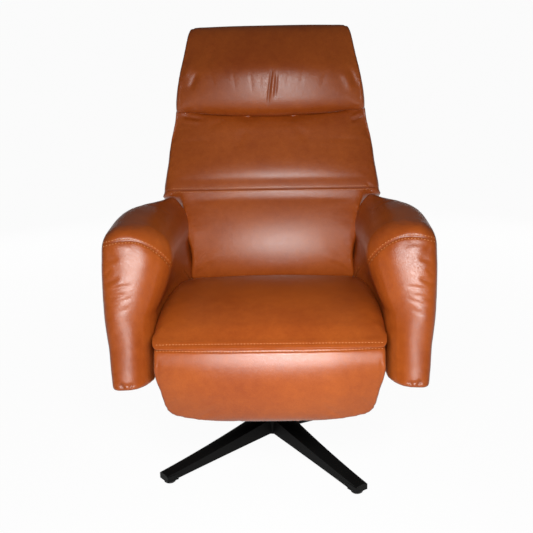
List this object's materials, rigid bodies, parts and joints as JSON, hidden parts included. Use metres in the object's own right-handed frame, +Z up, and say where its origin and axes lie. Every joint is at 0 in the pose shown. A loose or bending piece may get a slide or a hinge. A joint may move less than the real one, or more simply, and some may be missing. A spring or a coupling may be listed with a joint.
{
  "type": "recliner armchair",
  "caption": "Leather recliner armchair on a black swivel star base, with padded arms, a reclining back, a tilting head rest and a padded leg rest that swings up from the front of the seat.",
  "frame": {"origin": "on the floor, on the swivel axis, which is the middle of the footprint", "axes": "+Z up, -Y the way the sitter faces, +X to the right as seen from the front"},
  "size_m": [0.7792, 0.8078, 1.0999],
  "materials": {
    "leather": "satin",
    "black_metal": "matte",
    "steel": "satin",
    "rod": "polished",
    "plastic": "matte",
    "wood": "matte",
    "webbing": "matte",
    "lining": "matte"
  },
  "bodies": {
    "base": {"star_base": "black_metal", "base_glides": "plastic", "swivel_spindle": "steel", "spindle_circlip": "steel", "thrust_bearing": "steel"},
    "seat": {"swivel_plate": "black_metal", "plate_bolts": "steel", "swivel_bushes": "plastic", "seat_frame": "steel", "leg_rest_bushes": "plastic", "recline_bushes": "plastic", "spring_anchor_pin": "steel", "seat_board_left": "leather", "seat_board_right": "leather", "seat_board_rear": "leather", "seat_board_front": "wood", "underside_cover": "lining", "seat_belts": "webbing", "seat_cushion": "leather", "gas_spring_cylinder": "black_metal", "arm_pad_left": "leather", "arm_pad_right": "leather", "arm_board_left": "wood", "arm_board_right": "wood", "arm_brackets_left": "black_metal", "arm_brackets_right": "black_metal", "arm_bolts_left": "steel", "arm_bolts_right": "steel"},
    "back": {"back_frame": "steel", "back_belts": "webbing", "back_shell": "leather", "lower_back_cushion": "leather", "upper_back_cushion": "leather", "recline_pins": "steel"},
    "head": {"head_frame": "steel", "head_cushion": "leather", "head_shell": "leather", "head_pins": "steel", "head_ratchets": "steel"},
    "leg_rest": {"leg_rest_cushion": "leather", "leg_rest_board": "wood", "leg_rest_arms": "steel", "leg_rest_hinge_tube": "steel", "leg_rest_ratchet_left": "steel", "leg_rest_ratchet_right": "steel"},
    "spring_rod": {"gas_spring_rod": "rod", "gas_spring_pin": "steel"}
  },
  "joints": [
    {"name": "swivel", "type": "hinge", "parent": "base", "child": "seat", "pos_m": [0, 0, 0.16], "axis": [0, 0, 1], "continuous": true},
    {"name": "recline", "type": "hinge", "parent": "seat", "child": "back", "pos_m": [0, 0.186, 0.338], "axis": [-1, 0, 0], "range_deg": [0, 38]},
    {"name": "head_tilt", "type": "hinge", "parent": "back", "child": "head", "pos_m": [0, 0.28941, 0.88989], "axis": [1, 0, 0], "range_deg": [0, 35]},
    {"name": "leg_rest_swing", "type": "hinge", "parent": "seat", "child": "leg_rest", "pos_m": [0, -0.344, 0.39], "axis": [-1, 0, 0], "range_deg": [0, 78]},
    {"name": "spring_rod_slide", "type": "slide", "parent": "seat", "child": "spring_rod", "axis": [0, 1, -0.0092], "range_m": [-0.02765, 0]}
  ],
  "couplings": [
    {"joint": "spring_rod_slide", "follows": "recline", "m_per_rad": -0.041233}
  ]
}
